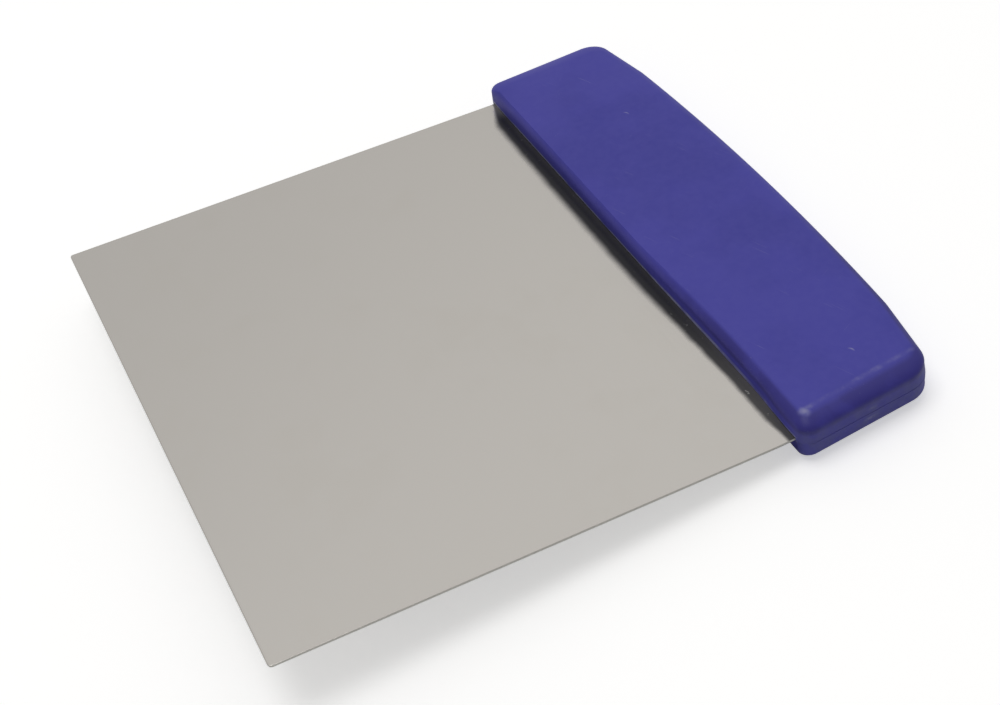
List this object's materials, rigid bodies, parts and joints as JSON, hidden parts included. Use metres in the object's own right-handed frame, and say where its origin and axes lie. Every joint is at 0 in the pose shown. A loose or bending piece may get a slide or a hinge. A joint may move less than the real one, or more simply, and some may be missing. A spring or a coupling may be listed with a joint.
{
  "type": "flexible putty knife",
  "caption": "Wide, thin rectangular spring-steel blade that flexes, clamped between the moulded shells of a flat full-width handle, for spreading filler and scraping flat surfaces.",
  "frame": {"origin": "middle of the handle's flat underside, 15.5 mm behind the mouth", "axes": "+X along the blade's width, +Y from the cutting edge towards the back of the handle, +Z out of the handle's top face"},
  "size_m": [0.1254, 0.1261, 0.0128],
  "materials": {
    "handle_plastic": "satin moulded polypropylene, violet blue, lightly scuffed",
    "blade_steel": "bright rolled spring steel, close to a mirror, with faint smudges",
    "screw_steel": "bright zinc plate"
  },
  "bodies": {
    "handle": {"handle_top_shell": "handle_plastic", "handle_bottom_shell": "handle_plastic", "blade_clamped_root": "blade_steel", "handle_screw_1": "screw_steel", "handle_screw_2": "screw_steel", "handle_screw_3": "screw_steel", "handle_screw_4": "screw_steel"},
    "blade": {"blade_flexing_span": "blade_steel"}
  },
  "joints": [
    {"name": "blade_flex", "type": "hinge", "parent": "handle", "child": "blade", "pos_m": [0, -0.02979, 0.00571], "axis": [1, 0, 0], "range_deg": [-20, 20], "stiffness_Nm_per_rad": 5.8}
  ]
}
